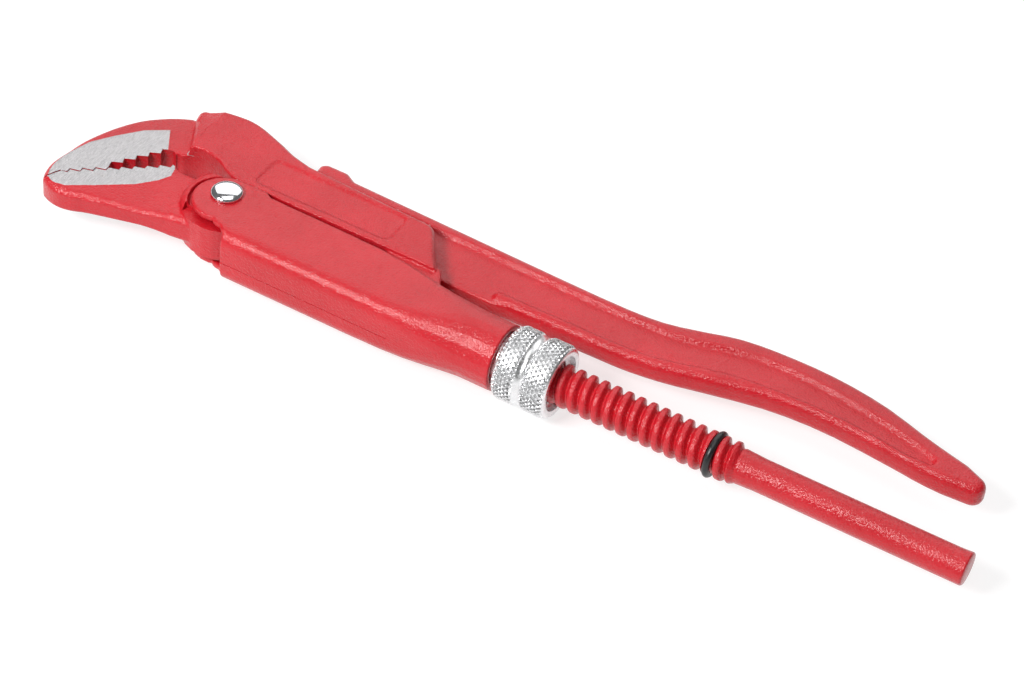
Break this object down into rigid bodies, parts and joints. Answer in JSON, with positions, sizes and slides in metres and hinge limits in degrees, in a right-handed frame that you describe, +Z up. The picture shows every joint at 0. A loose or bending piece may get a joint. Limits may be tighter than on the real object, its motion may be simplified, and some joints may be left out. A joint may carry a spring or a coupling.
{
  "type": "pipe wrench",
  "caption": "Swedish-pattern pipe wrench with 45 degree jaws: red painted forged legs, knurled adjusting nut on a threaded leg, sheet guide housing, chromed rivet",
  "frame": {"origin": "centre of the wrench's footprint as it lies on its side, on the floor plane", "axes": "+X along the threaded leg from the jaws to the handle ends; +Y sideways to the curved lever handle; +Z up, across the thickness of the wrench"},
  "size_m": [0.2548, 0.0538, 0.0196],
  "materials": {
    "red_paint": "glossy enamel over a rough forging",
    "chrome_plate": "polished plating",
    "bright_zinc": "bright plated, knurled",
    "spring_steel": "plain spring wire",
    "black_rubber": "smooth moulded"
  },
  "bodies": {
    "upper_leg": {"upper_jaw_leg": "red_paint", "stop_ring": "black_rubber"},
    "housing": {"guide_housing": "red_paint", "pivot_rivet": "chrome_plate", "nut_retaining_ring": "spring_steel"},
    "nut": {"adjusting_nut": "bright_zinc"},
    "lever": {"lower_jaw_lever": "red_paint"}
  },
  "joints": [
    {"name": "housing_slide", "type": "slide", "parent": "upper_leg", "child": "housing", "axis": [1, 0, 0], "range_m": [0, 0.038]},
    {"name": "nut_spin", "type": "hinge", "parent": "housing", "child": "nut", "pos_m": [0.01154, -0.01221, 0.0098], "axis": [1, 0, 0], "range_deg": [0, 4150]},
    {"name": "lever_pivot", "type": "hinge", "parent": "housing", "child": "lever", "pos_m": [-0.08106, -0.00761, 0.0098], "axis": [0, 0, 1], "range_deg": [0, 15]}
  ],
  "couplings": [
    {"joint": "nut_spin", "follows": "housing_slide", "rad_per_m": 1904}
  ]
}
